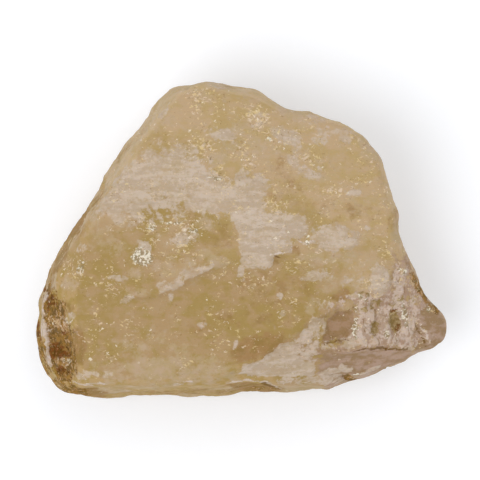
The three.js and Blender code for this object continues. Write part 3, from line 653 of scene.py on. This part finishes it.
def stoneMaterial():
    material, tree, shader = newMaterial("witherite")
    look = witheriteFinish
    start = Flow(tree, tree.nodes.new("ShaderNodeTexCoord").outputs["Object"])
    place = start.make("ShaderNodeVectorMath", {"operation": "SCALE"}, {0: start, "Scale": 1 / mm})

    def vectors(operation, vector, output=0):
        return start.make("ShaderNodeVectorMath", {"operation": operation}, {0: place, 1: vector}, output)

    def mark(name):
        return start.make("ShaderNodeAttribute", {"attribute_name": name}, output=2)

    def grainAt(at, size, detail, roughness, distortion):
        inputs = {"Vector": at, "Scale": 1 / size, "Detail": detail, "Roughness": roughness,
                  "Distortion": distortion}
        return (start.make("ShaderNodeTexNoise", {}, inputs) - 0.5) * look["grainGain"]

    def grain(name):  # noise around 0
        size, detail, roughness, stretch, distortion = look["grains"][name]
        return grainAt(vectors("MULTIPLY", stretch), size, detail, roughness, distortion)

    def blended(value, name):
        return value.between(*look["blend"]).mixed(*look["tones"][name])

    def coated(below, mask, name):  # lays one of the coats over what is below it
        strength, tone, *second = look["coats"][name]
        if second:
            other, size, ownNoise = second
            detail, roughness, height = look["mottling"]
            at = vectors("ADD", (ownNoise, ownNoise, height))
            tone = grainAt(at, size, detail, roughness, 0.0).between(*look["blend"]).mixed(tone, other)
        return (mask * strength).mixed(below, tone)

    # Honey: olive and rosy tints, in streaks along the stone's length, paler towards the far edge and the
    # right; that paling is partly painted light, making up for the key light's fall-off across the face.
    clouds, blotches = grain("clouds"), grain("blotches")
    streaks, fineStreaks = grain("streaks"), grain("fineStreaks")
    broadFace, facesUp = mark("broadFace"), mark("facesUp")
    tint = 0.5 * blotches + 0.3 * streaks + 0.5 * clouds
    far = (vectors("DOT_PRODUCT", look["wayToFarEdge"], 1) + 3.0 * clouds).between(*look["farEdge"])
    honey = far.mixed(blended(tint, "lowerHoney"), blended(tint, "upperHoney"))
    # The walls take a paler honey, partly painted light that makes up for their shading on steep slopes.
    base = facesUp.mixed(blended(tint, "wallHoneyWithPaintedLight"), honey)

    ragged, raggedFine = grain("ragged"), grain("raggedFine")

    def edged(name):  # a mark with a ragged border
        value = mark(name)
        coarse, fine, low, high = look["borders"][name]
        return (value + coarse * ragged + fine * raggedFine).between(low, high) * value.between(0.0, 0.25)

    # The thin rim is gold where it faces the near side, partly its own colour and partly painted shade, and
    # paler on the far side, which is painted light.
    base = coated(base, (mark("nearRimGoldAndShade") + 0.03 * ragged).between(0.04, 0.3), "nearRimGoldAndShade")
    base = coated(base, mark("farRimPaintedLight").between(0.05, 0.4), "farRimPaintedLight")
    amber = mark("amber")
    base = coated(base, (amber + 0.14 * ragged + 0.06 * raggedFine).between(0.15, 0.95), "amber")
    base = coated(base, (0.2 * ragged + 0.08 * raggedFine - amber).between(0.1, 0.9), "cloudy")

    # Thin veils of frosting, everywhere on the broad face.
    veil = (grain("veil") + 0.3 * raggedFine).between(0.3, 1.7)
    base = coated(base, veil * (0.12 + 0.33 * far) * broadFace, "veil")

    rosy = edged("rosy")
    rosyTone = (0.6 * streaks + 0.6 * blotches + 0.3 * raggedFine).between(-1.2, 1.5)
    base = (rosy * (0.5 + 0.35 * facesUp)).mixed(base, rosyTone.mixed(*look["tones"]["rosy"]))

    # Frosting, with honey showing through where it is thin.
    frosted = edged("frosted")
    thick = (0.8 * grain("thinFrost") + 0.3 * raggedFine).between(-1.6, 0.6)
    frostTone = (0.8 * grain("frostStrokes") + 0.4 * grain("frostGrain")).between(-1.2, 1.3)
    frostShare = frosted * (0.3 + 0.4 * mark("frosted") + 0.3 * thick)
    base = frostShare.mixed(base, frostTone.mixed(*look["tones"]["frost"]))

    # The crumbly corner's crystals, from white to rosy, with olive gaps.
    crumbly = edged("crumbly")
    crystals = (0.8 * grain("crystals") + 0.6 * grain("crystalGrain")).between(-1.3, 1.3)
    base = (crumbly * 0.75).mixed(base, crystals.mixed(*look["tones"]["crystals"]))
    base = coated(base, crumbly * grain("crystalGaps").between(1.3, 2.0), "crystalGap")
    base = coated(base, edged("pits"), "pit")
    base = coated(base, edged("recess"), "recess")

    # Brown stains, with paler crystals showing through.
    glitter = mark("glitter")
    stained = edged("stained")
    base = coated(base, stained, "stain")
    inStain = (grain("crystalsInStain") + 0.8 * glitter - 0.5).between(0.6, 1.3)
    base = coated(base, stained * inStain, "stainedCrystal")
    base = coated(base, edged("deepStain"), "deepStain")

    # Hollows are darkened with painted shade, and ridges are made paler.
    standsOut = mark("standsOut")
    base = coated(base, (0.12 * raggedFine - standsOut).between(0.3, 1.2), "hollowShade")
    ridges = (standsOut + 0.15 * raggedFine + 0.2 * ragged).between(0.5, 1.2)
    base = coated(base, ridges * (0.1 + 0.2 * crumbly) * (1 - 0.7 * stained), "ridgePaling")
    # Pale lines are veins and painted highlights on chip edges; dark lines are cracks and painted shadow
    # beside chips.
    base = coated(base, edged("paleLine"), "veinAndEdgeHighlight")
    base = coated(base, edged("darkLine"), "crackAndShadowLine")

    # Flecks gather in the glittering places.
    gathering = 0.5 * grain("gathering") + 0.8 * glitter + 0.35 * far + 0.6 * (broadFace - 1)
    fleckGrain = grain("flecks")
    flecks = (fleckGrain + gathering).between(1.95, 2.9)
    base = coated(base, flecks, "fleck")
    base = coated(base, (grain("darkFlecks") + 0.5 * gathering).between(2.1, 2.9), "darkFleck")
    sugarTone = (grain("sugar") + 0.5 * grain("fineSugar")).between(-0.7, 1.5)
    base = (edged("sugary") * 0.8).mixed(base, sugarTone.mixed(*look["tones"]["sugar"]))

    # Painted highlights where a few grains catch the light: the middles of some cells.
    fineness, detail = look["glintBend"]
    bending = {"Vector": place, "Scale": fineness, "Detail": detail}
    bend = start.make("ShaderNodeTexNoise", {}, bending, "Color")
    cells = {"Vector": vectors("ADD", bend), "Scale": 1 / look["glintSize"]}
    toMiddle = start.make("ShaderNodeTexVoronoi", {}, cells)
    cellColour = start.make("ShaderNodeTexVoronoi", {}, cells, "Color")
    cellTone = start.make("ShaderNodeSeparateColor", {}, {0: cellColour})
    glints = (cellTone + 0.16 * glitter + 0.025 * gathering).between(0.955, 0.985)
    glints = glints * (1 - toMiddle.between(0.12, 0.34))
    base = coated(base, glints, "glint")

    shader.inputs["Subsurface Weight"].default_value = look["glow"]
    shader.inputs["Subsurface Radius"].default_value = look["glowReach"]
    shader.inputs["Subsurface Scale"].default_value = look["glowDepth"]
    shader.inputs["IOR"].default_value = look["refraction"]
    shader.inputs["Specular IOR Level"].default_value = look["gloss"]
    tree.links.new(base.socket, shader.inputs["Base Color"])

    # Broken walls and stains are dull, so they keep their colour where they are seen edge on.
    dull = (1 - broadFace).highest(stained)
    roughness = 0.42 + 0.16 * frosted + 0.14 * crumbly - 0.1 * rosy + 0.02 * fleckGrain + 0.03 * blotches
    roughness = roughness - 0.2 * glints + 0.5 * dull
    tree.links.new(roughness.clamped().socket, shader.inputs["Roughness"])

    relief = 0.3 * grain("relief") + 0.25 * frosted * grain("frostRelief") + 0.4 * crumbly * crystals
    relief = relief + 0.2 * fineStreaks + 0.6 * flecks + 0.6 * glints
    strength, depth = look["bump"]
    bump = start.make("ShaderNodeBump", {}, {"Strength": strength, "Distance": depth, "Height": relief})
    tree.links.new(bump.socket, shader.inputs["Normal"])
    return material


stone.data.materials.clear()
stone.data.materials.append(stoneMaterial())
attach(stone, "root")
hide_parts("witherite_stone")
print("stone finished")

# Floor, light and camera, in metres.
studio = {
    "floorHalf": 1.2,
    "floorColour": (0.84, 0.86, 0.90, 1),
    "floorGlow": 0.17,  # lifts the floor to white without lighting the stone's face
    "floorRoughness": 0.9,
    "floorGloss": 0.1,
    "keyPlace": (-0.235, -0.13, 0.65),
    "keySize": 0.42,
    "keyPower": 1.65,
    "backPlace": (0.16, 0.32, 0.62),
    "backSize": 0.5,
    "backPower": 0.55,
    "ambient": 0.73,
    "pictureWidth": 480 / 411 * 60 * mm,  # the stone's 60 mm take 411 of the picture's 480 pixels
    "focusHeight": 14 * mm,
    "cameraDistance": 0.75,
    "cameraMiddle": (-0.04 * mm, 0.12 * mm),
    "sensorWidth": 36,
    "cameraReach": (0.01, 10),
}
white = (1, 1, 1, 1)


def makeFloor():
    work = bmesh.new()
    bmesh.ops.create_grid(work, x_segments=1, y_segments=1, size=studio["floorHalf"])
    floorMesh = bpy.data.meshes.new("floor")
    work.to_mesh(floorMesh)
    work.free()
    floor = bpy.data.objects.new("floor", floorMesh)
    scene.collection.objects.link(floor)
    material, _, shader = newMaterial("whitePaper")
    shader.inputs["Base Color"].default_value = studio["floorColour"]
    shader.inputs["Emission Color"].default_value = white
    shader.inputs["Emission Strength"].default_value = studio["floorGlow"]
    shader.inputs["Roughness"].default_value = studio["floorRoughness"]
    shader.inputs["Specular IOR Level"].default_value = studio["floorGloss"]
    floorMesh.materials.append(material)


def makeLight(name):
    lamp = bpy.data.lights.new(name, "AREA")
    lamp.shape, lamp.size, lamp.energy = "DISK", studio[name + "Size"], studio[name + "Power"]
    light = bpy.data.objects.new(name, lamp)
    light.location = studio[name + "Place"]
    light.rotation_euler = light.location.to_track_quat("Z", "Y").to_euler()
    scene.collection.objects.link(light)


def makeCamera():
    camera = bpy.data.objects.new("camera", bpy.data.cameras.new("camera"))
    camera.data.sensor_width = studio["sensorWidth"]
    camera.data.lens = studio["sensorWidth"] * studio["cameraDistance"] / studio["pictureWidth"]
    x, y = studio["cameraMiddle"]
    camera.location = (x, y, studio["focusHeight"] + studio["cameraDistance"])
    camera.data.clip_start, camera.data.clip_end = studio["cameraReach"]
    scene.collection.objects.link(camera)
    scene.camera = camera


makeFloor()
makeLight("key")
makeLight("back")
makeCamera()
world = bpy.data.worlds.new("studio")
world.use_nodes = True
background = world.node_tree.nodes["Background"]
background.inputs["Color"].default_value = white
background.inputs["Strength"].default_value = studio["ambient"]
scene.world = world
scene.view_settings.view_transform = "Standard"
scene.view_settings.look = "None"
print("studio ready")
